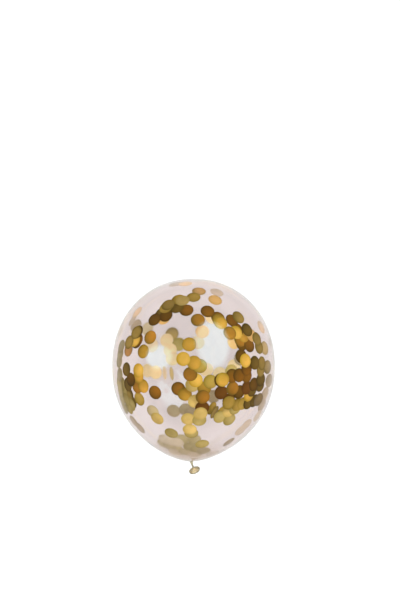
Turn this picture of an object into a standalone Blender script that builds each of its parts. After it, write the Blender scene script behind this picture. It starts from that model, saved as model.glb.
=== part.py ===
"""A round latex confetti balloon, blown up, closed at its neck and lying on its side.

The sealed balloon is one closed solid. World +Y runs from the neck to the crown and +Z is up. The origin is the
centre of the small flat spot that the balloon rests on, right under its widest circle. Lengths are in metres.
"""

import math

import bmesh
import bpy
from mathutils import Vector

# Body
BALLOON_DIAMETER = 0.300  # across the widest circle
CROWN_LENGTH = 0.161  # from the widest circle up to the crown
CROWN_FULLNESS = 2.1  # 2 is an ellipse, and more is fuller in the shoulders
TAPER_LENGTH = 0.176  # from the widest circle down to the tip that the neck leaves
TAPER_ONSET = 2.2  # how late the taper towards the neck sets in
TAPER_BLUNTNESS = 0.62  # 1 ends in a cone, and less ends in a rounder tip
TIP_LEAN = 0.004  # how far the tip sits to the -X side of the middle
TIP_LEAN_ONSET = 6  # how close to the tip the body starts to lean
FLAT_SPOT_WIDTH = 0.044  # across the flat that keeps the balloon from rolling, along X

# Closed neck
NECK_ROOT_DIAMETER = 0.0085  # where the neck leaves the body
NECK_DIAMETER = 0.0030  # of the pulled-thin neck
NECK_LENGTH = 0.0115
NECK_DEPTH_IN_BODY = 0.012  # how far the neck's root reaches into the body
NECK_TAPER_SHARPNESS = 3.5  # how soon the root thins down to the neck

# Open mouth below the closed neck
MOUTH_DIAMETER = 0.0200  # over the rolled lip
MOUTH_DEPTH = 0.0080
MOUTH_FLARE = 1.7  # 1 opens as a cone, and more opens late, like a trumpet
THROAT_DIAMETER = 0.0022  # inside the narrow end of the flare
MOUTH_WALL = 0.0008
LIP_BEAD_DIAMETER = 0.0022
THROAT_PLUG_LENGTH = 0.0020  # closed latex between the throat and the neck

# Direction of the neck and mouth
NECK_SIDE_LEAN = math.radians(22)  # towards +X, away from straight down the balloon
MOUTH_UPTURN = math.radians(33)  # the mouth's axis above level

# Facets
BODY_SIDES = 72
CROWN_RINGS = 16
TAPER_RINGS = 18
NECK_SIDES_RESOLUTION = 4
NECK_POINTS = 12
MOUTH_SIDES = 32
MOUTH_RINGS = 7
BEAD_RINGS = 8
MERGE_DISTANCE = 0.00001

BODY_RADIUS = BALLOON_DIAMETER / 2
AXIS_HEIGHT = math.sqrt(BODY_RADIUS**2 - (FLAT_SPOT_WIDTH / 2) ** 2)
LATEX_COLOUR = (0.90, 0.84, 0.86, 0.40)


def clear_scene():
    """Starts from an empty scene."""
    for old in list(bpy.data.objects):
        bpy.data.objects.remove(old, do_unlink=True)


def new_collection(name):
    """A new collection in the scene."""
    collection = bpy.data.collections.new(name)
    bpy.context.scene.collection.children.link(collection)
    return collection


def latex_material():
    """Clear latex with a faint pink cast."""
    material = bpy.data.materials.new("clear_latex")
    material.use_nodes = True
    shader = material.node_tree.nodes["Principled BSDF"]
    shader.inputs["Base Color"].default_value = LATEX_COLOUR
    shader.inputs["Roughness"].default_value = 0.18
    shader.inputs["Metallic"].default_value = 0.0
    shader.inputs["Alpha"].default_value = LATEX_COLOUR[3]
    return material


def body_profile():
    """The body's outline from the crown to the tip, as (radius, distance along the axis)."""
    points = []
    for ring in range(CROWN_RINGS):
        angle = math.radians(90) * ring / CROWN_RINGS
        radius = BODY_RADIUS * math.sin(angle) ** (2 / CROWN_FULLNESS)
        points.append((radius, CROWN_LENGTH * math.cos(angle) ** (2 / CROWN_FULLNESS)))
    for ring in range(TAPER_RINGS):
        angle = math.radians(90) * ring / TAPER_RINGS
        radius = BODY_RADIUS * math.cos(angle) ** (2 * TAPER_BLUNTNESS)
        points.append((radius, -TAPER_LENGTH * math.sin(angle) ** (2 / TAPER_ONSET)))
    points.append((0.0, -TAPER_LENGTH))
    return points


def mouth_profile():
    """The mouth's section from its closed end, down the outside, round the rolled lip and up the inside.

    The second number is the distance from the lip towards the neck.
    """
    bead = LIP_BEAD_DIAMETER / 2
    throat = THROAT_DIAMETER / 2
    spread = MOUTH_DIAMETER / 2 - bead - throat
    outside = []
    inside = []
    for ring in range(MOUTH_RINGS + 1):
        share = ring / MOUTH_RINGS
        radius = throat + spread * share**MOUTH_FLARE
        height = MOUTH_DEPTH * (1 - share)
        slope = spread * MOUTH_FLARE * share ** (MOUTH_FLARE - 1)
        normal = Vector((MOUTH_DEPTH, slope)).normalized()
        outside.append((radius + MOUTH_WALL * normal.x, height + MOUTH_WALL * normal.y))
        inside.append((radius, height))
    closed_end = MOUTH_DEPTH + THROAT_PLUG_LENGTH
    lip = []
    for ring in range(BEAD_RINGS + 1):
        angle = math.radians(100 - 250 * ring / BEAD_RINGS)
        lip.append((throat + spread + bead * math.cos(angle), bead * math.sin(angle)))
    top = [(0.0, closed_end), (outside[0][0], closed_end)]
    return top + outside[:-1] + lip + inside[-2::-1] + [(0.0, MOUTH_DEPTH)]


def turned(name, profile, sides, collection):
    """A turned solid: the profile is swept once round the local Z axis."""
    mesh = bpy.data.meshes.new(name)
    vertices = [(radius, 0.0, height) for radius, height in profile]
    mesh.from_pydata(vertices, [(i, i + 1) for i in range(len(vertices) - 1)], [])
    solid = bpy.data.objects.new(name, mesh)
    collection.objects.link(solid)
    screw = solid.modifiers.new("turn", "SCREW")
    screw.axis = "Z"
    screw.angle = math.tau
    screw.steps = sides
    screw.render_steps = sides
    screw.use_merge_vertices = True
    screw.merge_threshold = MERGE_DISTANCE
    screw.use_smooth_shade = True
    return solid


def made_mesh(shape, collection):
    """Replaces a curve or an object with modifiers by a plain mesh object of the same form and place."""
    bpy.context.view_layer.update()
    evaluated = shape.evaluated_get(bpy.context.evaluated_depsgraph_get())
    mesh = bpy.data.meshes.new_from_object(evaluated)
    welded = bmesh.new()
    welded.from_mesh(mesh)
    bmesh.ops.remove_doubles(welded, verts=welded.verts, dist=MERGE_DISTANCE)
    welded.to_mesh(mesh)
    welded.free()
    name = shape.name
    place = shape.matrix_world.copy()
    bpy.data.objects.remove(shape, do_unlink=True)
    solid = bpy.data.objects.new(name, mesh)
    solid.matrix_world = place
    collection.objects.link(solid)
    return solid


def lean_tip(mesh):
    """Shifts the body sideways towards its tip, more and more, as a neck that was pulled to one side."""
    for vertex in mesh.vertices:
        share = max(0.0, -vertex.co.z / TAPER_LENGTH)
        vertex.co.x -= TIP_LEAN * share**TIP_LEAN_ONSET


def direction(upturn):
    """The way that the neck points, at an angle above level."""
    level = math.cos(upturn)
    return Vector((level * math.sin(NECK_SIDE_LEAN), -level * math.cos(NECK_SIDE_LEAN), math.sin(upturn)))


def tip_point():
    """Where the neck leaves the body."""
    return Vector((-TIP_LEAN, -TAPER_LENGTH, AXIS_HEIGHT))


def neck_end():
    """Where the bent neck meets the mouth's closed end."""
    return tip_point() + (direction(0.0) + direction(MOUTH_UPTURN)) * (NECK_LENGTH / 2)


def make_neck(collection):
    """The closed neck: a thin tube with a wide root, bent upwards along its length."""
    curve = bpy.data.curves.new("neck", "CURVE")
    curve.dimensions = "3D"
    curve.bevel_depth = NECK_DIAMETER / 2
    curve.bevel_resolution = NECK_SIDES_RESOLUTION
    curve.use_fill_caps = True
    spline = curve.splines.new("POLY")
    spline.points.add(NECK_POINTS + 1)
    start = tip_point()
    bend = start + direction(0.0) * (NECK_LENGTH / 2)
    end = neck_end()
    widening = NECK_ROOT_DIAMETER / NECK_DIAMETER - 1
    root = start - direction(0.0) * NECK_DEPTH_IN_BODY
    spline.points[0].co = (*root, 1.0)
    spline.points[0].radius = 1 + widening
    for number in range(NECK_POINTS):
        share = number / (NECK_POINTS - 1)
        along = start * (1 - share) ** 2 + bend * (2 * share * (1 - share)) + end * share**2
        spline.points[number + 1].co = (*along, 1.0)
        spline.points[number + 1].radius = 1 + widening * (1 - share) ** NECK_TAPER_SHARPNESS
    last = end + direction(MOUTH_UPTURN) * (THROAT_PLUG_LENGTH / 2)
    spline.points[NECK_POINTS + 1].co = (*last, 1.0)
    neck = bpy.data.objects.new("neck", curve)
    collection.objects.link(neck)
    return made_mesh(neck, collection)


def make_mouth(collection):
    """The open mouth with its rolled lip, past the end of the neck."""
    mouth = turned("mouth", mouth_profile(), MOUTH_SIDES, collection)
    outward = direction(MOUTH_UPTURN)
    mouth.location = neck_end() + outward * (THROAT_PLUG_LENGTH + MOUTH_DEPTH)
    mouth.rotation_mode = "QUATERNION"
    mouth.rotation_quaternion = (-outward).to_track_quat("Z", "Y")
    return mouth


def make_floor_cutter(collection):
    """A block below z = 0 that cuts the flat spot."""
    bpy.ops.mesh.primitive_cube_add(size=BALLOON_DIAMETER, location=(0, 0, -BODY_RADIUS))
    cutter = bpy.context.object
    cutter.name = "flat_spot_cutter"
    for home in list(cutter.users_collection):
        home.objects.unlink(cutter)
    collection.objects.link(cutter)
    return cutter


def boolean(target, other, operation):
    """Joins the other shape to the target or cuts it away, and keeps the other shape as a hidden guide."""
    modifier = target.modifiers.new(other.name, "BOOLEAN")
    modifier.operation = operation
    modifier.solver = "EXACT"
    modifier.object = other
    other.hide_render = True
    other.display_type = "WIRE"


def make_balloon(collection, guides):
    """The whole balloon as one solid: body, closed neck and open mouth, with its flat spot."""
    turned_body = turned("balloon", body_profile(), BODY_SIDES, collection)
    turned_body.location = (0, 0, AXIS_HEIGHT)
    turned_body.rotation_euler = (math.radians(-90), 0, 0)
    balloon = made_mesh(turned_body, collection)
    balloon.name = "balloon"
    lean_tip(balloon.data)
    boolean(balloon, make_neck(guides), "UNION")
    boolean(balloon, make_mouth(guides), "UNION")
    boolean(balloon, make_floor_cutter(guides), "DIFFERENCE")
    balloon.data.shade_smooth()
    balloon.data.set_sharp_from_angle(angle=math.radians(40))
    balloon.data.materials.append(latex_material())
    return balloon


def main():
    """Builds the balloon in its own collection."""
    clear_scene()
    parts = new_collection("confetti_balloon")
    guides = new_collection("guides")
    make_balloon(parts, guides)


main()
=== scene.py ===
"""Looks of a confetti balloon on its side: clear latex skin, neck and mouth, and gold foil discs inside.

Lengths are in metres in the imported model's frame. +Y runs from the neck to the crown, and +Z is up.
"""

import logging
import math
import random
from collections.abc import Callable, Mapping
from dataclasses import dataclass, field
from enum import Enum
from functools import cache, partialmethod

import bpy
from mathutils import Color, Matrix, Vector, noise
from mathutils.bvhtree import BVHTree


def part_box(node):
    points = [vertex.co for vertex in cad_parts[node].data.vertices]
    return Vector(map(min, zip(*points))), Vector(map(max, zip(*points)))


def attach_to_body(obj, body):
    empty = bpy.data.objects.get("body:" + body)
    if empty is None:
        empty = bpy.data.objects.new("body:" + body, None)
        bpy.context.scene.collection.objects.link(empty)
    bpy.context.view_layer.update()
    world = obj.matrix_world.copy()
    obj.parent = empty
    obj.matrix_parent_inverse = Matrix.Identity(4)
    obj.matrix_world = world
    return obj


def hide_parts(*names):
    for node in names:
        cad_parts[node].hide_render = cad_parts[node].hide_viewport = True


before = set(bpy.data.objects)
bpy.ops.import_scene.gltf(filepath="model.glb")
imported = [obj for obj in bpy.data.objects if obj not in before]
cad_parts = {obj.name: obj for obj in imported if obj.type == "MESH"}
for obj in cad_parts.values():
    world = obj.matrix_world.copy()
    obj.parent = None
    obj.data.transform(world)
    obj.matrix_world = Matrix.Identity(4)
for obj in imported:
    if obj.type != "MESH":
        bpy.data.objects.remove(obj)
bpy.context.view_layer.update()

BALLOON_NODE = "balloon"
BODY = "root"
# Each disc's colour with painted light and shade in it, and its painted glow
FOIL_LAYERS = ("foil_colour_with_painted_light", "foil_painted_glow")
SEED = 41
MILLIMETRE = 0.001
TINY = 1e-6

Place = tuple[float, float]
Triple = tuple[float, float, float]
Colour = tuple[float, float, float, float]
Faces = list[tuple[int, ...]]
Station = tuple[Vector, Vector, Callable[[float], float]]
Piece = bpy.types.Object
Material = bpy.types.Material
Node = bpy.types.Node
Socket = bpy.types.NodeSocket
Inputs = Mapping[str | int, object]

WHITE: Colour = (1.0, 1.0, 1.0, 1.0)

log = logging.getLogger("confetti_balloon")


def mesh_piece(name: str, vertices: list[Vector], faces: Faces) -> Piece:
    """Makes a smooth-shaded mesh object in the scene.

    Args:
        name: The piece's name.
        vertices: Its corners in the model's frame.
        faces: Its faces as indices of the corners, anticlockwise from outside.

    Returns:
        The new object, at the origin.
    """
    mesh = bpy.data.meshes.new(name)
    mesh.from_pydata(vertices, [], faces)
    mesh.validate()
    mesh.shade_smooth()
    piece = bpy.data.objects.new(name, mesh)
    bpy.context.scene.collection.objects.link(piece)
    return piece


def attach(piece: Piece, material: Material) -> None:
    """Gives a piece its finish, lets it ride on the balloon and reports it.

    Args:
        piece: The piece.
        material: Its material.
    """
    piece.data.materials.append(material)
    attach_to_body(piece, BODY)
    log.info("%s: %d faces", piece.name, len(piece.data.polygons))


def ring_faces(rings: int, sides: int, first: int = 0, inward: bool = False, loop: bool = False) -> Faces:
    """Quads between the rings of corners of a turned form.

    Args:
        rings: How many rings there are.
        sides: Corners in each ring.
        first: Index of the first corner.
        inward: True to turn the faces over.
        loop: True to join the last ring to the first.

    Returns:
        The faces.
    """
    faces = []
    for ring in range(rings if loop else rings - 1):
        low = first + ring * sides
        high = first + (ring + 1) % rings * sides
        for side in range(sides):
            after = (side + 1) % sides
            face = (low + side, low + after, high + after, high + side)
            faces.append(face[::-1] if inward else face)
    return faces


def fan_faces(middle: int, sides: int, first: int = 0, inward: bool = False) -> Faces:
    """Triangles between a middle corner and the ring round it."""
    fan = [(middle, first + side, first + (side + 1) % sides) for side in range(sides)]
    return [face[::-1] for face in fan] if inward else fan


def circle(sides: int) -> list[float]:
    """Even angles round a circle."""
    return [math.tau * side / sides for side in range(sides)]


@dataclass(frozen=True)
class Viewpoint:
    """The photograph's place over the balloon's axis, and its lens."""

    distance: float = 2.612
    eye: Place = (0.0120, 0.1217)
    lens: float = 85.0
    sensor: float = 36.0

    def sight(self, place: Place, height: float) -> Place:
        """Moves a place seen in the level plane through the axis to the true one at a height over it."""
        nearness = height / self.distance
        return tuple(at + (eye - at) * nearness for at, eye in zip(place, self.eye))

    def seen(self, point: Vector, axis_height: float) -> Place:
        """Where a point shows in the level plane through the axis."""
        nearness = (point.z - axis_height) / self.distance
        return tuple((at - eye * nearness) / (1 - nearness) for at, eye in zip(point, self.eye))


class Wall(Enum):
    """Which side of the balloon a disc clings to, seen from above."""

    NEAR = 1
    FAR = -1


@dataclass(frozen=True)
class BalloonForm:
    """The blown-up body's outline, with the same sizes as the solid."""

    radius: float
    crown: float
    axis_height: float
    taper: float = 0.176
    fullness: float = 2.1
    taper_onset: float = 2.2
    taper_bluntness: float = 0.62
    tip_lean: float = 0.004
    tip_lean_onset: float = 6.0
    spot_softness: float = 0.0006
    film: float = 0.00025
    floor_gap: float = 0.0004
    slope_step: float = 0.0005
    rim: float = 0.995
    sight_steps: int = 12

    @classmethod
    def from_solid(cls) -> "BalloonForm":
        """Reads its sizes from the solid's box.

        Returns:
            The form.
        """
        low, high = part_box(BALLOON_NODE)
        radius = (high.x - low.x) / 2
        return cls(radius=radius, crown=high.y, axis_height=high.z - radius)

    def girth(self, along: float) -> float:
        """The body's radius.

        Args:
            along: Distance from the widest circle towards the crown.

        Returns:
            The radius there.
        """
        if along >= 0:
            share = min(1.0, along / self.crown)
            return self.radius * (1 - share**self.fullness) ** (1 / self.fullness)
        share = min(1.0, -along / self.taper)
        return self.radius * (1 - share**self.taper_onset) ** self.taper_bluntness

    def lean(self, along: float) -> float:
        """How far the axis is shifted along X there, as the tip leans aside."""
        share = max(0.0, -along / self.taper)
        return -self.tip_lean * share**self.tip_lean_onset

    def profile(self, rings: int) -> list[Place]:
        """Places from the crown to the tip, evenly spread over both curved ends.

        Args:
            rings: How many places each end has.

        Returns:
            Pairs of radius and distance along the axis, without the two poles.
        """
        angles = [math.radians(90) * ring / rings for ring in range(rings)]
        places = [self.crown * math.cos(angle) ** (2 / self.fullness) for angle in angles[1:]]
        places += [-self.taper * math.sin(angle) ** (2 / self.taper_onset) for angle in angles]
        return [(self.girth(along), along) for along in places]

    def point(self, girth: float, along: float, turn: float) -> Vector:
        """A point by its distance from and along the axis, and its angle from straight up towards +X."""
        x = self.lean(along) + girth * math.sin(turn)
        return Vector((x, along, self.axis_height + girth * math.cos(turn)))

    def tip(self) -> Vector:
        """Where the neck leaves the body."""
        return self.point(0.0, -self.taper, 0.0)

    def rest(self, point: Vector, depth: float = 0.0) -> Vector:
        """Presses a point of the skin flat where it would sink below the floor.

        Args:
            point: A point on the round form.
            depth: How far inside the skin's outer face it lies.

        Returns:
            The point, no lower than the flat spot allows.
        """
        over = point.z - self.floor_gap - depth
        lifted = (over + math.sqrt(over * over + self.spot_softness**2)) / 2
        return Vector((point.x, point.y, self.floor_gap + depth + lifted))

    def outward(self, point: Vector) -> Vector:
        """The round form's outward normal.

        Args:
            point: A point of the form.

        Returns:
            The normal there, one long.
        """
        step = self.slope_step
        along = min(self.crown - 2 * step, max(2 * step - self.taper, point.y))
        slope = (self.girth(along + step) - self.girth(along - step)) / (2 * step)
        side = Vector((point.x - self.lean(along), 0, point.z - self.axis_height)).normalized()
        return Vector((side.x, -slope, side.z)).normalized()

    def seen_at(self, view: Viewpoint, place: Place, wall: Wall) -> Vector:
        """The point of a wall that shows at a place.

        Args:
            view: Where the balloon is seen from.
            place: The place in the level plane through the axis.
            wall: The near wall or the far one.

        Returns:
            The point on the round form.
        """
        height = 0.0
        for _ in range(self.sight_steps):
            across, along = view.sight(place, height)
            girth = self.girth(along)
            share = (across - self.lean(along)) / max(girth, TINY)
            turn = math.asin(max(-self.rim, min(self.rim, share)))
            if wall is Wall.FAR:
                turn = math.pi - turn
            height = girth * math.cos(turn)
        return self.point(girth, along, turn)


class NodeTree:
    """Adds shader nodes and feeds their inputs."""

    def __init__(self, tree: bpy.types.NodeTree) -> None:
        """Keeps the tree to work on."""
        self.tree = tree

    def feed(self, node: Node, inputs: Inputs) -> None:
        """Sets a node's inputs to plain values, or links them to the outputs of other nodes.

        Args:
            node: The node.
            inputs: The value or output for each input, by its name or number.
        """
        for name, value in inputs.items():
            if isinstance(value, Socket):
                self.tree.links.new(value, node.inputs[name])
            else:
                node.inputs[name].default_value = value

    def add(self, kind: str, inputs: Inputs | None = None, **properties: object) -> Node:
        """Adds a node.

        Args:
            kind: The node's type name.
            inputs: What its inputs get, if anything.
            **properties: Its properties by name.

        Returns:
            The node.
        """
        node = self.tree.nodes.new(kind)
        for name, value in properties.items():
            setattr(node, name, value)
        self.feed(node, inputs or {})
        return node

    def place(self, space: str = "Object") -> Socket:
        """Coordinates of the place that is shaded."""
        return self.add("ShaderNodeTexCoord").outputs[space]

    def axis(self, name: str, space: str = "Object") -> Socket:
        """One of those coordinates alone."""
        return self.add("ShaderNodeSeparateXYZ", {"Vector": self.place(space)}).outputs[name]

    def noise(self, place: Socket, scale: Socket | float, detail: float) -> Socket:
        """Soft noise over a surface."""
        inputs = {"Vector": place, "Scale": scale, "Detail": detail}
        return self.add("ShaderNodeTexNoise", inputs).outputs["Fac"]

    def span(self, source: Socket, low: float, high: float, to_low: float, to_high: float) -> Socket:
        """Maps a value from one range to another and keeps it within."""
        ends = {"From Min": low, "From Max": high, "To Min": to_low, "To Max": to_high}
        return self.add("ShaderNodeMapRange", {"Value": source, **ends}, clamp=True).outputs["Result"]

    def vary(self, source: Socket, low: float, high: float) -> Socket:
        """Spreads a noise, which seldom leaves 0.3 to 0.7, over a range."""
        return self.span(source, 0.3, 0.7, low, high)

    def maths(self, operation: str, *values: Socket | float) -> Socket:
        """The result of a sum on values and outputs."""
        return self.add("ShaderNodeMath", dict(enumerate(values)), operation=operation).outputs["Value"]

    def mix(self, factor: Socket, first: object, second: object, blend: str = "MIX") -> Socket:
        """Mixes a second colour, or colour output, into a first one."""
        inputs = {"Factor": factor, "A": first, "B": second}
        return self.add("ShaderNodeMix", inputs, data_type="RGBA", blend_type=blend).outputs["Result"]

    def bump(self, height: Socket, distance: float) -> Socket:
        """A normal that follows a height."""
        return self.add("ShaderNodeBump", {"Height": height, "Distance": distance}).outputs["Normal"]


def new_material(name: str) -> tuple[Material, NodeTree, Node]:
    """Makes a material.

    Args:
        name: Its name.

    Returns:
        The material with its node helper and its Principled shader.
    """
    material = bpy.data.materials.new(name)
    material.use_nodes = True
    return material, NodeTree(material.node_tree), material.node_tree.nodes["Principled BSDF"]


@cache
def latex_cloud() -> bpy.types.NodeTree:
    """The soft clouds and specks of dipped latex, as a mask and a height, built once.

    Returns:
        The node group.
    """
    group = bpy.data.node_groups.new("latex_cloud", "ShaderNodeTree")
    for socket, default in (("Cloud Scale", 14.0), ("Speck Scale", 420.0), ("Speck Share", 0.35)):
        item = group.interface.new_socket(socket, in_out="INPUT", socket_type="NodeSocketFloat")
        item.default_value = default
    for socket in ("Cloud", "Height"):
        group.interface.new_socket(socket, in_out="OUTPUT", socket_type="NodeSocketFloat")
    tree = NodeTree(group)
    given = tree.add("NodeGroupInput").outputs
    place = tree.place()
    cloud = tree.noise(place, given["Cloud Scale"], detail=3.0)
    specks = tree.noise(place, given["Speck Scale"], detail=2.0)
    both = {"Factor": given["Speck Share"], "A": cloud, "B": specks}
    height = tree.add("ShaderNodeMix", both, data_type="FLOAT").outputs["Result"]
    tree.add("NodeGroupOutput", {"Cloud": cloud, "Height": height})
    return group


@dataclass(frozen=True)
class ClearLatex:
    """Thin blown-up latex: see-through, faintly pink, and more beige where it is thicker near the neck."""

    tint: Colour = (0.850, 0.745, 0.725, 1.0)
    thick_tint: Colour = (0.66, 0.48, 0.36, 1.0)
    edge_tint: Colour = (0.57, 0.49, 0.415, 1.0)
    shadow_tint: Colour = (0.97, 0.95, 0.96, 1.0)
    edge_from: float = 0.66
    edge_to: float = 0.92
    thick_from: float = -0.135
    thick_to: float = -0.176
    clear: float = 0.20
    hazy: float = 0.27
    bend: float = 1.04
    gloss_bend: float = 1.8
    gloss_roughness: float = 0.06
    ripple: float = 0.00002
    cloud_scale: float = 11.0
    speck_share: float = 0.12

    def material(self) -> Material:
        """Builds the see-through material.

        Returns:
            The material. It lets light through to what lies in its shadow.
        """
        material, tree, shader = new_material("clear_latex")
        scales = {"Cloud Scale": self.cloud_scale, "Speck Share": self.speck_share}
        cloud = tree.add("ShaderNodeGroup", scales, node_tree=latex_cloud()).outputs
        thickness = tree.span(tree.axis("Y"), self.thick_to, self.thick_from, 1.0, 0.0)
        grazing = tree.add("ShaderNodeLayerWeight").outputs["Facing"]
        edge = tree.span(grazing, self.edge_from, self.edge_to, 0.0, 1.0)
        tinted = tree.mix(thickness, self.tint, self.thick_tint)
        tree.feed(shader, {
            "Base Color": tree.mix(edge, tinted, self.edge_tint),
            "Roughness": tree.vary(cloud["Cloud"], self.clear, self.hazy),
            "Normal": tree.bump(cloud["Height"], self.ripple),
            "IOR": self.bend,
            "Transmission Weight": 1.0,
            "Coat Weight": 1.0,
            "Coat Roughness": self.gloss_roughness,
            "Coat IOR": self.gloss_bend,
        })
        passing = tree.add("ShaderNodeBsdfTransparent", {"Color": self.shadow_tint})
        shadow = tree.add("ShaderNodeLightPath").outputs["Is Shadow Ray"]
        choice = {"Fac": shadow, 1: shader.outputs["BSDF"], 2: passing.outputs["BSDF"]}
        surface = tree.add("ShaderNodeMixShader", choice).outputs["Shader"]
        tree.feed(material.node_tree.nodes["Material Output"], {"Surface": surface})
        return material


@dataclass(frozen=True)
class ThickLatex:
    """Unstretched latex of the neck, the mouth and its rolled lip: cloudy and tan."""

    name: str
    colour: Colour
    shade: Colour
    smooth: float = 0.28
    dull: float = 0.42
    glow: float = 0.35
    glow_depth: Triple = (0.004, 0.003, 0.0015)
    relief: float = 0.0002
    cloud_scale: float = 160.0
    speck_scale: float = 900.0

    def material(self) -> Material:
        """Builds the cloudy material.

        Returns:
            The material.
        """
        material, tree, shader = new_material(self.name)
        scales = {"Cloud Scale": self.cloud_scale, "Speck Scale": self.speck_scale}
        cloud = tree.add("ShaderNodeGroup", scales, node_tree=latex_cloud()).outputs
        tree.feed(shader, {
            "Base Color": tree.mix(cloud["Cloud"], self.colour, self.shade),
            "Roughness": tree.vary(cloud["Height"], self.smooth, self.dull),
            "Normal": tree.bump(cloud["Height"], self.relief),
            "Subsurface Weight": self.glow,
            "Subsurface Radius": self.glow_depth,
            "Subsurface Scale": 1.0,
        })
        return material


@dataclass(frozen=True)
class GoldFoil:
    """Metallised film, faintly creased and stained, in the colour that each disc carries, with light and
    shade painted in, and a painted glow.
    """

    metallic: float = 0.4
    smooth: float = 0.28
    dull: float = 0.42
    crinkle: float = 0.00012
    crease_scale: float = 120.0
    stain: Colour = (0.86, 0.84, 0.78, 1.0)
    stain_scale: float = 60.0
    stain_from: float = 0.4
    stain_to: float = 0.75

    def material(self) -> Material:
        """Builds the foil material.

        Returns:
            The material, which reads each disc's colour with its painted light and shade, and its painted
            glow.
        """
        material, tree, shader = new_material("gold_foil")
        # The first layer is the disc colour with painted light and shade; the second is a painted glow
        own, haze = (
            tree.add("ShaderNodeAttribute", attribute_name=name).outputs["Color"] for name in FOIL_LAYERS
        )
        place = tree.place()
        creases = tree.noise(place, self.crease_scale, detail=3.0)
        blotches = tree.noise(place, self.stain_scale, detail=1.0)
        stained = tree.span(blotches, self.stain_from, self.stain_to, 0.0, 1.0)
        tree.feed(shader, {
            "Base Color": tree.mix(stained, own, self.stain, "MULTIPLY"),
            "Roughness": tree.vary(creases, self.smooth, self.dull),
            "Normal": tree.bump(creases, self.crinkle),
            "Metallic": self.metallic,
            "Specular IOR Level": 0.0,
            # Painted glow: the discs give off light that stands in for light the skin scatters over them
            "Emission Color": haze,
            "Emission Strength": 1.0,
        })
        material.cycles.emission_sampling = "NONE"
        return material


@dataclass(frozen=True)
class StudioPaper:
    """Pale matt paper under the balloon, lit a little from below, with a faint grain."""

    colour: Colour = (0.178, 0.178, 0.178, 1.0)
    shade: Colour = (0.168, 0.168, 0.168, 1.0)
    grain_scale: float = 6.0
    roughness: float = 0.9
    sheen: float = 0.1
    glow: float = 0.78

    def material(self) -> Material:
        """Builds the paper material.

        Returns:
            The material.
        """
        material, tree, shader = new_material("studio_paper")
        grain = tree.noise(tree.place(), self.grain_scale, detail=2.0)
        tree.feed(shader, {
            "Base Color": tree.mix(grain, self.colour, self.shade),
            "Roughness": self.roughness,
            "Specular IOR Level": self.sheen,
            "Emission Color": WHITE,
            "Emission Strength": self.glow,
        })
        return material


@dataclass
class LatexSkin:
    """The blown-up envelope, puckered round the neck and pressed flat where it lies."""

    form: BalloonForm
    rings: int = 80
    sides: int = 256
    puckers: int = 17
    pucker_depth: float = 0.0004
    pucker_reach: float = 0.012

    def build(self) -> Piece:
        """Builds the skin as one closed surface, with fine folds round the neck.

        Returns:
            The skin.
        """
        vertices = []
        profile = self.form.profile(self.rings)
        for girth, along in profile:
            fold = self.pucker_depth * math.exp(-girth / self.pucker_reach) if along <= 0 else 0.0
            for turn in circle(self.sides):
                point = self.form.point(girth + fold * math.cos(self.puckers * turn), along, turn)
                vertices.append(self.form.rest(point))
        crown = len(vertices)
        vertices += [self.form.point(0.0, self.form.crown, 0.0), self.form.tip()]
        faces = ring_faces(len(profile), self.sides, inward=True) + fan_faces(crown, self.sides)
        faces += fan_faces(crown + 1, self.sides, crown - self.sides, inward=True)
        return mesh_piece("latex_skin", vertices, faces)

    def dress(self, finish: ClearLatex) -> None:
        """Builds the skin, gives it its finish and puts it in place of the solid.

        Args:
            finish: The finish.
        """
        skin = self.build()
        attach(skin, finish.material())
        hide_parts(BALLOON_NODE)


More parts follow.
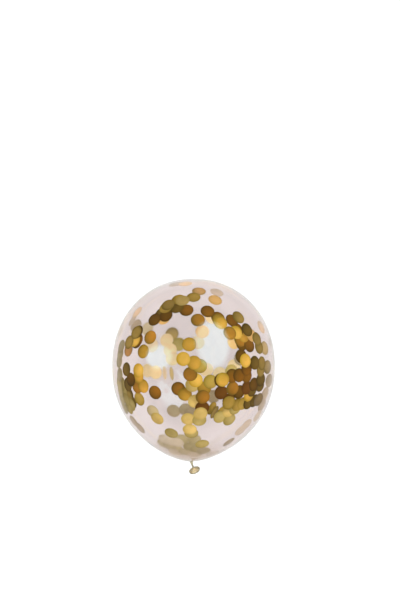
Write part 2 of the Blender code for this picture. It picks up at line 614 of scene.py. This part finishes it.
@dataclass
class NeckAndMouth:
    """The pleated closed neck, the flared open mouth and its rolled lip."""

    form: BalloonForm
    root_radius: float = 0.0032
    buried_root: float = 0.8
    root_depth: float = 0.004
    neck_radius: float = 0.0015
    neck_length: float = 0.0100
    neck_rings: int = 30
    closed_end: float = 0.95
    taper_sharpness: float = 3.5
    pleats: int = 7
    pleat_depth: float = 0.16
    pleat_twist: float = 2.2
    pleat_onset: float = 0.25
    mouth_radius: float = 0.0105
    mouth_depth: float = 0.0080
    mouth_flare: float = 1.7
    mouth_rings: int = 20
    throat_radius: float = 0.0011
    throat_pin: float = 0.0002
    wall: float = 0.0006
    shoulder: float = 0.8
    shoulder_drop: float = 0.0005
    plug_pin: float = 0.0004
    plug_length: float = 0.0020
    bead_radius: float = 0.0010
    bead_rings: int = 16
    root_lean: float = math.radians(12)
    side_lean: float = math.radians(26)
    upturn: float = math.radians(42)
    sides: int = 72

    def direction(self, upturn: float) -> Vector:
        """The way the neck points at an angle above level, as it turns aside from its root to the mouth."""
        aside = self.root_lean + (self.side_lean - self.root_lean) * upturn / self.upturn
        return Vector((math.sin(aside), -math.cos(aside), math.tan(upturn))) * math.cos(upturn)

    def bent(self, share: float) -> tuple[Vector, Vector]:
        """A place along the neck's bend.

        Args:
            share: 0 at the body's tip and 1 at the neck's end.

        Returns:
            The point and the direction there.
        """
        level, raised = self.direction(0.0), self.direction(self.upturn)
        half = self.neck_length / 2
        bend = level * (half * (2 * share - share * share)) + raised * (half * share * share)
        return self.form.tip() + bend, level.lerp(raised, share).normalized()

    def pleated(self, radius: float, twist: float = 0.0, depth: float = 0.0) -> Callable[[float], float]:
        """A radius by angle, with pleats."""
        return lambda angle: radius * (1 + depth * math.cos(self.pleats * angle + twist))

    def tube(self, name: str, stations: list[Station], inward: bool = False, loop: bool = False) -> Piece:
        """A tube through rings of corners, closed by flat ends.

        Args:
            name: The piece's name.
            stations: Each ring's centre, direction and radius by angle.
            inward: True where the rings run against their direction.
            loop: True if the last ring joins the first instead.

        Returns:
            The piece.
        """
        vertices = []
        for centre, along, radius in stations:
            facing = along.to_track_quat("Z", "Y")
            for angle in circle(self.sides):
                spoke = Vector((math.cos(angle), math.sin(angle), 0)) * radius(angle)
                vertices.append(centre + facing @ spoke)
        faces = ring_faces(len(stations), self.sides, inward=inward, loop=loop)
        if not loop:
            corners = tuple(range(len(vertices)))
            ends = (corners[: self.sides][::-1], corners[-self.sides :])
            faces += [end[::-1] if inward else end for end in ends]
        return mesh_piece(name, vertices, faces)

    def build_neck(self) -> Piece:
        """The neck: pulled thin, with twisted pleats, wide at its root.

        Returns:
            The piece.
        """
        level = self.direction(0.0)
        buried = self.pleated(self.root_radius * self.buried_root)
        stations = [(self.form.tip() - level * self.root_depth, level, buried)]
        for number in range(self.neck_rings):
            share = number / (self.neck_rings - 1)
            wide = (self.root_radius - self.neck_radius) * (1 - share) ** self.taper_sharpness
            full = min(1.0, share / self.pleat_onset)
            depth = self.pleat_depth * full * full * (3 - 2 * full)
            section = self.pleated(self.neck_radius + wide, self.pleat_twist * share, depth)
            stations.append((*self.bent(share), section))
        end, along = self.bent(1.0)
        closed = self.pleated(self.neck_radius * self.closed_end, self.pleat_twist, self.pleat_depth)
        stations.append((end + along * self.plug_length / 2, along, closed))
        return self.tube("latex_neck", stations)

    def mouth_section(self) -> list[Place]:
        """Section of the mouth, from the closed end down its outside and back up inside.

        Returns:
            The section's radii and distances from the lip.
        """
        spread = self.mouth_radius - self.bead_radius - self.throat_radius
        outside = []
        inside = []
        for ring in range(self.mouth_rings + 1):
            share = ring / self.mouth_rings
            slope = spread * self.mouth_flare * share ** (self.mouth_flare - 1)
            normal = Vector((self.mouth_depth, slope)).normalized() * self.wall
            radius = self.throat_radius + spread * share**self.mouth_flare
            height = self.mouth_depth * (1 - share)
            outside.append((radius + normal.x, height + normal.y))
            inside.append((radius, height))
        plug = self.mouth_depth + self.plug_length
        neck = outside[0][0]
        closed = [(self.plug_pin, plug), (neck * self.shoulder, plug), (neck, plug - self.shoulder_drop)]
        return closed + outside + inside[::-1] + [(self.throat_pin, self.mouth_depth)]

    def lip_section(self) -> list[Place]:
        """Section of the rolled bead round the mouth."""
        middle, bead = self.mouth_radius - self.bead_radius, self.bead_radius
        return [(middle + bead * math.cos(turn), -bead * math.sin(turn)) for turn in circle(self.bead_rings)]

    def turned(self, name: str, section: list[Place], loop: bool = False) -> Piece:
        """Turns a section about the mouth's axis.

        Args:
            name: The piece's name.
            section: Its radii and distances from the lip.
            loop: True if the section closes on itself.

        Returns:
            The piece.
        """
        inner = -self.direction(self.upturn)
        lip = self.bent(1.0)[0] - inner * (self.plug_length + self.mouth_depth)
        stations = [(lip + inner * height, inner, self.pleated(radius)) for radius, height in section]
        return self.tube(name, stations, inward=True, loop=loop)

    def dress(self, neck: ThickLatex, mouth: ThickLatex, lip: ThickLatex) -> None:
        """Builds the three pieces and gives each its finish.

        Args:
            neck: The neck's finish.
            mouth: The mouth's finish.
            lip: The rolled lip's finish.
        """
        attach(self.build_neck(), neck.material())
        attach(self.turned("latex_mouth", self.mouth_section()), mouth.material())
        attach(self.turned("rolled_lip", self.lip_section(), loop=True), lip.material())


class Veil(Enum):
    """How much painted haze of the skin lies over a disc: how far its colour fades to the painted haze
    colour, and how much painted glow it gives off.
    """

    NONE = 0.0
    FAINT = 0.12
    THIN = 0.25
    THICK = 0.5


class Tone(Enum):
    """The golds of the foil as painted on screen. The foil is gold throughout; these tones paint the light
    on it: dark tones the dim room that it reflects, bright and peach tones reflected lamps, cream tones the
    skin's highlight over it, and haze, mist and sage tones the skin's veil over it. Each has a painted lit
    part and a painted shaded edge.
    """

    DARK = (0.48, 0.34, 0.11), (0.32, 0.25, 0.08)
    RUST = (0.52, 0.34, 0.13), (0.38, 0.25, 0.09)
    BROWN = (0.62, 0.42, 0.13), (0.38, 0.29, 0.11)
    AMBER = (0.76, 0.53, 0.19), (0.50, 0.40, 0.15)
    OCHRE = (0.76, 0.59, 0.22), (0.54, 0.44, 0.14)
    DARK_OLIVE = (0.52, 0.42, 0.17), (0.35, 0.29, 0.10)
    OLIVE = (0.72, 0.61, 0.31), (0.50, 0.43, 0.18)
    OLIVE_GOLD = (0.81, 0.68, 0.32), (0.60, 0.51, 0.19)
    GOLD = (0.91, 0.70, 0.29), (0.66, 0.54, 0.18)
    BRIGHT = (1.00, 0.81, 0.38), (0.80, 0.65, 0.20)
    PALE_GOLD = (0.88, 0.77, 0.46), (0.75, 0.66, 0.36)
    PALE_OLIVE = (0.77, 0.70, 0.43), (0.64, 0.58, 0.31)
    PEACH = (1.00, 0.82, 0.50), (0.88, 0.71, 0.42)
    TAN = (0.90, 0.72, 0.46), (0.68, 0.57, 0.32)
    CREAM = (0.97, 0.88, 0.69), (0.93, 0.84, 0.64)
    SAGE = (0.75, 0.70, 0.53), (0.67, 0.62, 0.45)
    HAZE = (0.68, 0.61, 0.48), (0.62, 0.55, 0.42)
    MIST = (0.82, 0.77, 0.70), (0.76, 0.72, 0.66)

    def __init__(self, lit: Triple, shaded: Triple) -> None:
        """Keeps both colours as light that the renderer can use."""
        self.lit = Vector(Color(lit).from_srgb_to_scene_linear())
        self.shaded = Vector(Color(shaded).from_srgb_to_scene_linear())

    def on(self, wall: Wall, *places: Place, veil: Veil = Veil.NONE, lean: float = 0.0) -> "Drift":
        """Discs of this tone on a wall."""
        return Drift(self, places, wall, veil, lean)

    near = partialmethod(on, Wall.NEAR)
    far = partialmethod(on, Wall.FAR)


@dataclass(frozen=True)
class Drift:
    """Discs of one tone that cling to one wall, and lean off it by an angle in degrees.

    Places are (across, along) in millimetres, as seen from above.
    """

    tone: Tone
    places: tuple[Place, ...]
    wall: Wall
    veil: Veil
    lean: float


# Each disc's tone paints the reflection, highlight or veil that it shows, not a change in the gold
# Each of these makes one piece. Its first drifts lie against the wall
CROWN = (
    Tone.TAN.near((10, 138)),
    Tone.PEACH.near((40, 122)),
    Tone.PALE_GOLD.near((-20, 121)),
    Tone.OLIVE.near((-47, 113)),
    Tone.OLIVE_GOLD.near((-28, 123), (0, 127), (-51, 108)),
    Tone.DARK_OLIVE.near((-31, 108)),
    Tone.BROWN.near((-13, 103), (26, 101)),
    Tone.AMBER.near((8, 85)),
    Tone.DARK.near((-72, 86), (-51, 93)),
    Tone.DARK_OLIVE.near((-59, 97)),
    Tone.PEACH.near((-55, 88)),
    Tone.PEACH.near((-15, 152), veil=Veil.THICK),
    Tone.HAZE.near((-33, 151), (43, 136), veil=Veil.THICK),
)
RIGHT_SHOULDER = (
    Tone.OLIVE_GOLD.near((131, 33), veil=Veil.THIN, lean=-8),
    Tone.OLIVE.near((83, 90)),
    Tone.BROWN.near((71, 84), lean=5),
    Tone.DARK_OLIVE.near((99, 67)),
    Tone.GOLD.near((50, 80)),
    Tone.OCHRE.near((47, 85)),
    Tone.BROWN.near((45, 89)),
    Tone.AMBER.near((67, 61)),
    Tone.BRIGHT.near((79, 62)),
    Tone.BROWN.near((81, 67)),
    Tone.OLIVE.near((117, 50), (121, 35)),
    Tone.PEACH.near((107, 57)),
    Tone.GOLD.near((92, 56)),
    Tone.BROWN.near((103, 38)),
    Tone.AMBER.near((86, 48)),
    Tone.DARK.near((89, 41)),
    Tone.PEACH.near((74, 44), veil=Veil.FAINT),
    Tone.HAZE.far((134, 41)),
    Tone.TAN.near((125, 72), veil=Veil.THICK),
    Tone.CREAM.far((32, 84)),
    Tone.MIST.far((122, 92), (141, 26)),
)
RIGHT = (
    Tone.OLIVE.near((136, -2), veil=Veil.FAINT, lean=-12),
    Tone.HAZE.near((139, -27), veil=Veil.FAINT, lean=-12),
    Tone.HAZE.near((132, -51), (126, -72), veil=Veil.THIN, lean=-6),
    Tone.HAZE.near((118, -92), (87, -119), (98, -108), veil=Veil.THICK),
    Tone.HAZE.near((65, -140), veil=Veil.THIN, lean=12),
    Tone.BRIGHT.near((96, 10)),
    Tone.DARK.near((88, 18)),
    Tone.DARK_OLIVE.near((113, 6)),
    Tone.OLIVE.near((126, 5)),
    Tone.BROWN.near((98, -5)),
    Tone.OLIVE.near((124, -7)),
    Tone.GOLD.near((54, -25)),
    Tone.DARK.near((51, -26)),
    Tone.DARK_OLIVE.near((124, -25), lean=-8),
    Tone.BROWN.near((84, -17), (98, -18), (71, -18)),
    Tone.AMBER.near((72, -41)),
    Tone.RUST.near((51, -49)),
    Tone.DARK.near((84, -48)),
    Tone.RUST.near((98, -40)),
    Tone.DARK.near((111, -34)),
    Tone.DARK_OLIVE.near((108, -44)),
    Tone.DARK_OLIVE.near((122, -35), lean=-8),
    Tone.BRIGHT.near((102, -53)),
    Tone.DARK_OLIVE.near((120, -62), veil=Veil.FAINT, lean=-6),
    Tone.DARK_OLIVE.near((112, -64), (101, -68)),
    Tone.OLIVE_GOLD.near((91, -69), (65, -68)),
    Tone.BROWN.near((65, -63)),
    Tone.OLIVE_GOLD.near((81, -71)),
    Tone.PALE_OLIVE.near((77, -78)),
    Tone.PALE_GOLD.near((65, -83)),
    Tone.PALE_OLIVE.near((49, -94), (66, -99)),
    Tone.OLIVE_GOLD.near((56, -85)),
    Tone.CREAM.far((45, -13), (69, 0)),
    Tone.PALE_GOLD.far((65, -9)),
    Tone.HAZE.far((80, 13)),
)
CENTRE = (
    Tone.GOLD.near((-8, 40)),
    Tone.BRIGHT.near((-19, 13)),
    Tone.GOLD.near((1, 6)),
    Tone.OLIVE_GOLD.near((12, 0)),
    Tone.AMBER.near((-6, -15)),
    Tone.BRIGHT.near((4, -26)),
    Tone.PALE_GOLD.near((-2, -35)),
    Tone.OCHRE.near((-16, -52)),
    Tone.BROWN.near((-28, -42)),
    Tone.AMBER.near((17, -57)),
    Tone.OCHRE.near((20, -41)),
    Tone.OLIVE_GOLD.near((31, -29)),
    Tone.PALE_GOLD.near((13, -88), (-10, -98)),
    Tone.RUST.near((16, -77)),
    Tone.OLIVE_GOLD.near((34, -78), lean=36),
    Tone.OLIVE.near((39, -85), lean=42),
    Tone.PALE_OLIVE.near((11, -100)),
    Tone.PALE_GOLD.near((-7, -117)),
    Tone.PALE_OLIVE.near((-4, -124)),
    Tone.PALE_GOLD.near((3, -65)),
    Tone.HAZE.far((-34, -78), (-13, -76), (-4, -82), (34, -53)),
    Tone.SAGE.far((1, -127)),
    Tone.OLIVE.far((-37, 56), veil=Veil.FAINT),
    Tone.PALE_OLIVE.far((-25, 38)),
    Tone.PEACH.far((15, 60)),
    Tone.CREAM.far((7, 41), (-46, 45), (-40, 28), (-36, 13), (22, -6)),
    Tone.PALE_GOLD.far((-38, -13), veil=Veil.FAINT, lean=56),
    Tone.CREAM.far((-50, -12), veil=Veil.THIN, lean=50),
)
LEFT = (
    Tone.SAGE.near((-133, 36), (-135, 23), (-137, 9), (-136, -16)),
    Tone.HAZE.near((-110, -102), (-99, -114), veil=Veil.THIN),
    Tone.PALE_OLIVE.near((-127, -77), (-132, -61), (-135, -46), (-137, -31), veil=Veil.FAINT),
    Tone.OLIVE.near((-106, 62)),
    Tone.DARK.near((-103, 63)),
    Tone.AMBER.near((-80, 53)),
    Tone.OLIVE.near((-119, 44)),
    Tone.BRIGHT.near((-108, 48)),
    Tone.BROWN.near((-103, 48)),
    Tone.DARK.near((-105, 45)),
    Tone.OCHRE.near((-93, 27)),
    Tone.AMBER.near((-120, 30), veil=Veil.FAINT),
    Tone.DARK_OLIVE.near((-124, -6)),
    Tone.BRIGHT.near((-102, -8)),
    Tone.DARK.near((-116, -25)),
    Tone.GOLD.near((-102, -19), (-93, -37)),
    Tone.AMBER.near((-104, -38)),
    Tone.DARK_OLIVE.near((-121, -34)),
    Tone.BROWN.near((-71, -49)),
    Tone.OLIVE_GOLD.near((-100, -61)),
    Tone.PALE_OLIVE.near((-119, -77), (-124, -62), (-128, -48), (-131, -33), (-115, -71)),
    Tone.OLIVE.near((-120, -56), (-125, -41)),
    Tone.DARK_OLIVE.near((-113, -66), (-118, -52)),
    Tone.PALE_GOLD.near((-67, -97)),
    Tone.PALE_OLIVE.near((-75, -84), veil=Veil.THIN),
    Tone.SAGE.far((-79, 65), veil=Veil.THIN),
    Tone.TAN.near((-104, 99), veil=Veil.THICK, lean=-6),
    Tone.HAZE.near((-112, 85), veil=Veil.THICK, lean=-12),
    Tone.HAZE.far((-98, 70), veil=Veil.THIN),
    Tone.MIST.far((-125, 77), (-127, 61)),
    Tone.CREAM.far((-65, -11), (-79, -8)),
    Tone.CREAM.far((-71, 36), veil=Veil.THIN),
)
NECK_END = (
    Tone.PALE_OLIVE.near((-41, -124), (16, -144)),
    Tone.SAGE.far((-20, -127), (-6, -140), (6, -144)),
    Tone.SAGE.far((-30, -143), veil=Veil.FAINT),
    Tone.SAGE.far((-51, -135), (-41, -140), (17, -148), (-14, -150), veil=Veil.THIN),
    Tone.SAGE.far((-49, -127), (-38, -131), (-28, -133), veil=Veil.THICK),
    Tone.MIST.far((33, -154), veil=Veil.THICK),
    Tone.SAGE.far((-31, -151), (2, -155), veil=Veil.THICK),
)


@dataclass
class FoilDisc:
    """One punched disc of thin foil, in its own frame with its face along +Z."""

    radius: float = 0.0125
    thickness: float = 0.00006
    sides: int = 32
    rings: tuple[float, ...] = (0.3, 0.6, 0.85, 0.97, 1.0)

    def flat(self) -> list[Place]:
        """Places of one face's corners in the disc's plane, centre first."""
        rim = [(self.radius * share, angle) for share in self.rings for angle in circle(self.sides)]
        return [(0.0, 0.0)] + [(reach * math.cos(angle), reach * math.sin(angle)) for reach, angle in rim]

    def corners(self, height: Callable[[float, float], float]) -> list[Vector]:
        """Corners of the upper face and then of the lower one, bent by a height at each place."""
        half = self.thickness / 2
        return [Vector((x, y, height(x, y) + offset)) for offset in (half, -half) for x, y in self.flat()]

    def faces(self) -> Faces:
        """Faces of the whole disc.

        Returns:
            Each face as indices of the corners.
        """
        count, sides = len(self.rings), self.sides
        lower = 1 + sides * count
        faces = fan_faces(0, sides, 1) + ring_faces(count, sides, 1, inward=True)
        faces += fan_faces(lower, sides, lower + 1, inward=True) + ring_faces(count, sides, lower + 1)
        rim = [*range(lower - sides, lower), lower - sides]
        return faces + [(a, lower + a, lower + b, b) for a, b in zip(rim, rim[1:])]


@dataclass
class Confetti:
    """Foil discs that cling to the inside of the skin and pile up behind each other."""

    form: BalloonForm
    view: Viewpoint
    disc: FoilDisc
    finish: Material
    chance: random.Random
    gap: float = 0.0005
    layer: float = 0.0002
    tries: int = 30
    aim_steps: int = 8
    most_tilt: float = math.radians(5)
    tilt_scale: float = 5.0
    second_tilt: Triple = (7.3, 2.1, 5.7)
    most_curl: float = 1.5
    # Painted light and shade on each disc, and the painted haze colour and glow over it:
    middle_light: float = 0.75
    edge_shade: float = 0.75
    least_slope: float = 0.2
    most_slope: float = 0.6
    light_from: float = math.radians(-15)
    light_spread: float = 0.7
    brightness_spread: float = 0.05
    haze: Triple = (0.66, 0.575, 0.51)
    far_painted_glow: float = 0.38
    settled: list[tuple[Vector, float, BVHTree]] = field(default_factory=list)

    def clung(self, place: Place, wall: Wall, inset: float) -> tuple[Vector, Vector]:
        """Finds the middle of a disc that shows at a place and hangs a little inside a wall.

        Args:
            place: Where it shows, in millimetres.
            wall: The wall that it clings to.
            inset: How far inside the wall its middle is.

        Returns:
            The middle of the disc, and the outward normal there.
        """
        wanted = [value * MILLIMETRE for value in place]
        aim = wanted
        for _ in range(self.aim_steps):
            point = self.form.seen_at(self.view, aim, wall)
            outward = self.form.outward(point)
            centre = point - outward * inset
            seen = self.view.seen(centre, self.form.axis_height)
            aim = [at + (want - got) for at, want, got in zip(aim, wanted, seen)]
        return centre, outward

    def lay(self, place: Place, drift: Drift) -> list[Vector]:
        """Lays one disc against its wall, tilted like its neighbours and clear of them.

        Args:
            place: Where it shows, in millimetres.
            drift: The disc's drift.

        Returns:
            The disc's corners in the model's frame.
        """
        on_wall, _ = self.clung(place, drift.wall, 0.0)
        reach = self.disc.radius
        behind = [depth for other, depth, _ in self.settled if (other - on_wall).length < reach * 2]
        depth = max(behind) + self.layer if behind else self.gap
        stand_off = math.radians(drift.lean)
        raised = abs(math.sin(stand_off)) * reach
        spot = on_wall * self.tilt_scale
        tilts = [noise.noise(at) * self.most_tilt for at in (spot, spot + Vector(self.second_tilt))]
        curl = self.chance.uniform(0, self.most_curl)
        turn = Matrix.Rotation(tilts[0], 3, "X") @ Matrix.Rotation(tilts[1], 3, "Y")
        turn = turn @ Matrix.Rotation(self.chance.uniform(0, math.tau), 3, "Z")

        def height(x: float, y: float) -> float:
            """The disc's curl and its give to the round wall."""
            return -((x * x + y * y) / self.form.radius + curl * x * x) / 2

        flat = [turn @ corner for corner in self.disc.corners(height)]
        clear = self.form.film + self.gap
        for _ in range(self.tries):
            centre, outward = self.clung(place, drift.wall, depth + math.hypot(*tilts) * reach + raised)
            facing = Matrix.Rotation(stand_off, 3, "Y") @ outward.to_track_quat("Z", "Y").to_matrix()
            corners = [self.form.rest(centre + facing @ corner, clear) for corner in flat]
            solid = BVHTree.FromPolygons(corners, self.disc.faces())
            if not any(solid.overlap(other) for _, _, other in self.settled):
                break
            depth += self.layer
        self.settled.append((on_wall, depth, solid))
        return corners

    def shading(self, drift: Drift, corners: list[Vector]) -> tuple[list[float], list[float]]:
        """Paints light and shade into a disc's corners: painted light in the middle and on one side, painted
        shade at the edge, under painted haze.

        Args:
            drift: The disc's drift.
            corners: Its corners in the model's frame.

        Returns:
            The disc's colour with its painted light, shade and haze, and its painted glow, which stands in
            for light that the skin scatters over it, as RGBA.
        """
        brightness = math.exp(self.chance.gauss(0, self.brightness_spread))
        slope = self.chance.uniform(self.least_slope, self.most_slope)
        turn = self.chance.gauss(self.light_from, self.light_spread)
        veil = drift.veil.value
        # Painted glow: far discs and veiled ones give off light that stands in for light scattered by the
        # skin
        glow = max(veil, self.far_painted_glow) if drift.wall is Wall.FAR else veil
        # The disc colour collected here carries its painted light, shade and haze
        own: list[float] = []
        painted_glow_colours: list[float] = []
        for (x, y), corner in zip(self.disc.flat() * 2, corners):
            out = (x**2 + y**2) / self.disc.radius**2
            away = (corner - corners[0]) / self.disc.radius
            toward = away.x * math.cos(turn) + away.y * math.sin(turn)
            # Painted light and shade: lighter in the middle and towards one side, darker at the edge
            share = min(1.0, max(0.0, self.middle_light + slope * toward - self.edge_shade * out**2))
            colour = drift.tone.shaded.lerp(drift.tone.lit, share) * brightness
            colour = colour.lerp(Vector(self.haze), veil)
            own += (*colour, 1.0)
            painted_glow_colours += (*(colour * glow), 1.0)
        return own, painted_glow_colours

    def scatter(self, name: str, drifts: tuple[Drift, ...]) -> None:
        """Builds one piece of confetti.

        Args:
            name: Its name.
            drifts: The drifts that it holds.
        """
        vertices: list[Vector] = []
        faces: Faces = []
        colours: dict[str, list[float]] = {layer: [] for layer in FOIL_LAYERS}
        for drift in drifts:
            for place in drift.places:
                corners = self.lay(place, drift)
                faces += [tuple(len(vertices) + index for index in face) for face in self.disc.faces()]
                vertices += corners
                for values, added in zip(colours.values(), self.shading(drift, corners)):
                    values += added
        piece = mesh_piece(name, vertices, faces)
        for layer, values in colours.items():
            piece.data.attributes.new(layer, "FLOAT_COLOR", "POINT").data.foreach_set("color", values)
        attach(piece, self.finish)


@dataclass(frozen=True)
class Softbox:
    """A large soft lamp, brightest in its middle."""

    name: str
    toward: Place
    from_zenith: float
    width: float
    height: float
    distance: float = 3.2
    radiance: float = 2.8
    colour: Triple = (0.55, 0.95, 1.0)
    reflected: bool = True
    middle: Triple = (0.5, 0.5, 0.0)
    soft_from: float = 0.36
    soft_to: float = 0.5

    def hang(self, aim: Vector) -> None:
        """Hangs the lamp.

        Args:
            aim: The point that it faces.
        """
        lamp = bpy.data.lights.new(self.name, "AREA")
        lamp.shape = "ELLIPSE"
        lamp.size = self.width
        lamp.size_y = self.height
        lamp.color = self.colour
        lamp.energy = self.radiance * math.pi * (math.pi * self.width * self.height / 4)
        lamp.use_nodes = True
        tree = NodeTree(lamp.node_tree)
        face = tree.add("ShaderNodeNewGeometry").outputs["Parametric"]
        out = tree.add("ShaderNodeVectorMath", {0: face, 1: self.middle}, operation="DISTANCE")
        fade = tree.span(out.outputs["Value"], self.soft_from, self.soft_to, 1.0, 0.0)
        tree.feed(lamp.node_tree.nodes["Emission"], {"Strength": fade})
        way = Vector((*self.toward, 0)).normalized() * math.sin(self.from_zenith)
        way += Vector((0, 0, math.cos(self.from_zenith)))
        sideways = (Vector((0, 1, 0)) - way * way.y).normalized().cross(way)
        holder = bpy.data.objects.new(self.name, lamp)
        holder.location = aim + way * self.distance
        holder.rotation_euler = Matrix((sideways, way.cross(sideways), way)).transposed().to_euler()
        holder.visible_camera = False
        holder.visible_glossy = self.reflected
        holder.visible_transmission = self.reflected
        holder.visible_diffuse = not self.reflected
        bpy.context.scene.collection.objects.link(holder)


@dataclass
class Studio:
    """Pale floor, soft lamps, dim room and the camera."""

    view: Viewpoint
    axis_height: float
    floor_size: float = 24.0
    floor_drop: float = 0.0005
    room: tuple[Place, ...] = ((-1.0, 1.0), (-0.9, 0.9), (-0.55, 0.10), (0.1, 0.06), (0.6, 0.04))
    ambient: float = 0.45
    white_below: float = 0.1
    dim_above: float = 0.3

    def lay_floor(self) -> None:
        """Lays the floor just under the balloon."""
        half = self.floor_size / 2
        level = [(-half, -half), (half, -half), (half, half), (-half, half)]
        floor = mesh_piece("floor", [Vector((x, y, -self.floor_drop)) for x, y in level], [(0, 1, 2, 3)])
        floor.data.materials.append(StudioPaper().material())
        floor.visible_glossy = False

    def light_room(self) -> None:
        """A room that looks white, but whose reflections and light are dim, save from far below."""
        world = bpy.data.worlds.new("studio")
        world.use_nodes = True
        bpy.context.scene.world = world
        tree = NodeTree(world.node_tree)
        up = tree.axis("Z", "Generated")
        level = tree.add("ShaderNodeValToRGB", {"Fac": tree.span(up, -1.0, 1.0, 0.0, 1.0)})
        stops = level.color_ramp.elements
        while len(stops) < len(self.room):
            stops.new(1.0)
        for stop, (z, grey) in zip(stops, self.room):
            stop.position = (z + 1) / 2
            stop.color = (grey, grey, grey, 1.0)
        rays = tree.add("ShaderNodeLightPath").outputs
        low = tree.span(up, self.white_below, self.dim_above, 1.0, 0.0)
        through = tree.maths("MULTIPLY", rays["Is Transmission Ray"], low)
        seen = tree.maths("MAXIMUM", rays["Is Camera Ray"], through)
        white = tree.maths("MULTIPLY_ADD", rays["Is Diffuse Ray"], self.ambient, seen)
        colour = tree.mix(white, level.outputs["Color"], WHITE)
        tree.feed(world.node_tree.nodes["Background"], {"Color": colour})

    def hang_lamps(self) -> None:
        """Two softboxes whose reflections show on the skin, and a fill lamp without one."""
        lamps = (
            Softbox("softbox_right", (0.97, 0.95), math.radians(37.5), width=3.1, height=3.65),
            Softbox("softbox_left", (-1.0, 0.22), math.radians(49), width=2.6, height=1.5),
            Softbox("fill", (0.0, 1.0), 0.0, 4.0, 4.0, 3.0, 11.8, WHITE[:3], reflected=False),
        )
        for lamp in lamps:
            lamp.hang(Vector((0, 0, self.axis_height)))

    def set_camera(self) -> None:
        """The camera, straight above, with the crown at the top of the picture."""
        camera = bpy.data.objects.new("camera", bpy.data.cameras.new("camera"))
        camera.data.lens = self.view.lens
        camera.data.sensor_width = self.view.sensor
        camera.location = (*self.view.eye, self.axis_height + self.view.distance)
        bpy.context.scene.collection.objects.link(camera)
        bpy.context.scene.camera = camera

    def set_up(self) -> None:
        """Sets the whole studio up."""
        self.lay_floor()
        self.light_room()
        self.hang_lamps()
        self.set_camera()
        scene = bpy.context.scene
        scene.view_settings.view_transform = "Standard"
        scene.cycles.caustics_refractive = False
        scene.cycles.caustics_reflective = False
        log.info("studio: ready")


def main() -> None:
    """Builds every piece of the balloon and the studio round it."""
    logging.basicConfig(level=logging.INFO, format="%(name)s %(message)s")
    form = BalloonForm.from_solid()
    view = Viewpoint()
    Studio(view, form.axis_height).set_up()
    LatexSkin(form).dress(ClearLatex())
    NeckAndMouth(form).dress(
        neck=ThickLatex("neck_latex", (0.21, 0.195, 0.13, 1.0), (0.18, 0.165, 0.105, 1.0)),
        mouth=ThickLatex("mouth_latex", (0.24, 0.195, 0.12, 1.0), (0.205, 0.165, 0.10, 1.0)),
        lip=ThickLatex("lip_latex", (0.15, 0.135, 0.085, 1.0), (0.13, 0.115, 0.07, 1.0)),
    )
    confetti = Confetti(form, view, FoilDisc(), GoldFoil().material(), random.Random(SEED))
    parts = {"crown": CROWN, "right_shoulder": RIGHT_SHOULDER, "right": RIGHT}
    parts |= {"centre": CENTRE, "left": LEFT, "neck_end": NECK_END}
    for name, drifts in parts.items():
        confetti.scatter(f"confetti_{name}", drifts)


if __name__ == "__main__":
    main()
